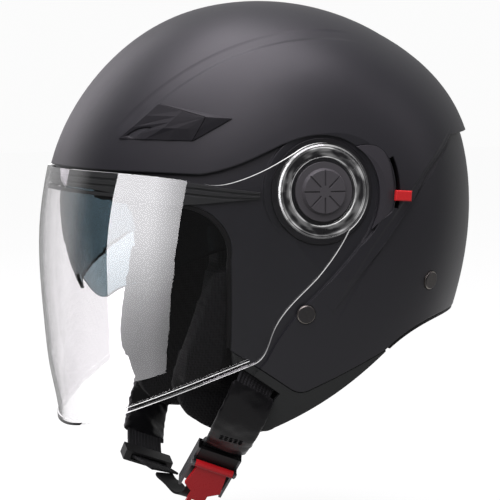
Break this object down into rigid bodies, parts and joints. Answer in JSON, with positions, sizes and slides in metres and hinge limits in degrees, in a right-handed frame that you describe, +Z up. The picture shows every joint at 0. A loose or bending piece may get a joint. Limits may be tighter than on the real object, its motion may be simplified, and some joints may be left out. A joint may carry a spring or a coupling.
{
  "type": "open face helmet",
  "caption": "Open face motorcycle helmet with a long clear swing-up visor, an inner sun visor worked by a side slider, vents, padded lining and a buckled chin strap.",
  "frame": {"origin": "midpoint between the two visor pivots, inside the head cavity", "axes": "+Z up, the face opening looks along -Y, +X towards the wearer's left"},
  "size_m": [0.2524, 0.2718, 0.3277],
  "materials": {
    "shell": "matte black, very slightly satin",
    "foam": "black bead foam",
    "mesh_lining": "black knitted mesh over foam",
    "neck_lining": "black leather-look cloth",
    "trim": "fine-grained dark grey moulding",
    "edge_rubber": "satin black rubber",
    "visor": "clear polycarbonate, glossy",
    "screw_steel": "zinc plated",
    "sun_visor": "dark blue-grey tint, glossy",
    "pin_steel": "turned steel",
    "red_plastic": "satin red moulding",
    "panel": "satin dark grey moulding",
    "zinc_plate": "zinc plated sheet",
    "buckle_steel": "pressed steel",
    "black_plastic": "black nylon",
    "buckle_red": "red moulding",
    "tongue_nylon": "black nylon",
    "knob": "satin black moulding",
    "gunmetal": "gunmetal finish",
    "webbing": "black woven nylon",
    "strap_fabric": "black padded cloth",
    "vent": "matte black moulding"
  },
  "bodies": {
    "helmet": {"outer_shell": "shell", "foam_liner": "foam", "crown_pad": "mesh_lining", "neck_roll": "neck_lining", "brow_trim": "trim", "rim_bead": "edge_rubber", "base_screws": "screw_steel", "sun_pins": "pin_steel", "sun_pin_caps": "screw_steel", "lever_pivot": "pin_steel", "slider_panel": "panel", "hanger_plates": "zinc_plate", "buckle_frame": "buckle_steel", "buckle_cover": "black_plastic", "buckle_pin": "pin_steel", "ratchet_tongue": "tongue_nylon", "slide_adjuster": "black_plastic", "jaw_trim_left": "trim", "jaw_trim_right": "trim", "port_bead_left": "edge_rubber", "port_bead_right": "edge_rubber", "visor_base_left": "black_plastic", "visor_base_right": "black_plastic", "front_rivet_left": "gunmetal", "front_rivet_right": "gunmetal", "rear_rivet_left": "gunmetal", "rear_rivet_right": "gunmetal", "cheek_pad_left": "mesh_lining", "cheek_pad_right": "mesh_lining", "chin_strap_left": "webbing", "chin_strap_right": "webbing", "strap_pad_left": "strap_fabric", "strap_pad_right": "strap_fabric", "vent_frame_left": "vent", "vent_frame_right": "vent"},
    "visor": {"visor": "visor"},
    "sun_visor": {"sun_visor": "sun_visor"},
    "sun_visor_lever": {"sun_visor_lever": "red_plastic"},
    "pivot_knob_left": {"pivot_knob_left": "knob"},
    "pivot_knob_right": {"pivot_knob_right": "knob"},
    "vent_flap_left": {"vent_flap_left": "vent"},
    "vent_flap_right": {"vent_flap_right": "vent"},
    "buckle_lever": {"buckle_lever": "buckle_red"}
  },
  "joints": [
    {"name": "visor_hinge", "type": "hinge", "parent": "helmet", "child": "visor", "pos_m": [0, 0, 0], "axis": [-1, 0, 0], "range_deg": [0, 78]},
    {"name": "sun_visor_hinge", "type": "hinge", "parent": "helmet", "child": "sun_visor", "pos_m": [0, -0.005, -0.014], "axis": [-1, 0, 0], "range_deg": [0, 33]},
    {"name": "sun_visor_lever_hinge", "type": "hinge", "parent": "helmet", "child": "sun_visor_lever", "pos_m": [0, 0, 0], "axis": [1, 0, 0], "range_deg": [0, 24.75]},
    {"name": "knob_left_hinge", "type": "hinge", "parent": "helmet", "child": "pivot_knob_left", "pos_m": [0.12, 0, 0], "axis": [1, 0, 0], "range_deg": [0, 45]},
    {"name": "knob_right_hinge", "type": "hinge", "parent": "helmet", "child": "pivot_knob_right", "pos_m": [-0.12, 0, 0], "axis": [-1, 0, 0], "range_deg": [0, 45]},
    {"name": "vent_left_hinge", "type": "hinge", "parent": "helmet", "child": "vent_flap_left", "pos_m": [0.10311, -0.06703, 0.04436], "axis": [-0.6642, -0.4149, 0.6218], "range_deg": [0, 8]},
    {"name": "vent_right_hinge", "type": "hinge", "parent": "helmet", "child": "vent_flap_right", "pos_m": [-0.10311, -0.06703, 0.04436], "axis": [-0.6642, 0.4149, -0.6218], "range_deg": [0, 8]},
    {"name": "buckle_lever_hinge", "type": "hinge", "parent": "helmet", "child": "buckle_lever", "pos_m": [0.04557, -0.04506, -0.17709], "axis": [-0.1005, -0.9332, 0.345], "range_deg": [0, 40], "stiffness_Nm_per_rad": 0.03, "springref_deg": -20.05}
  ],
  "couplings": [
    {"joint": "sun_visor_lever_hinge", "follows": "sun_visor_hinge", "ratio": 0.75}
  ]
}
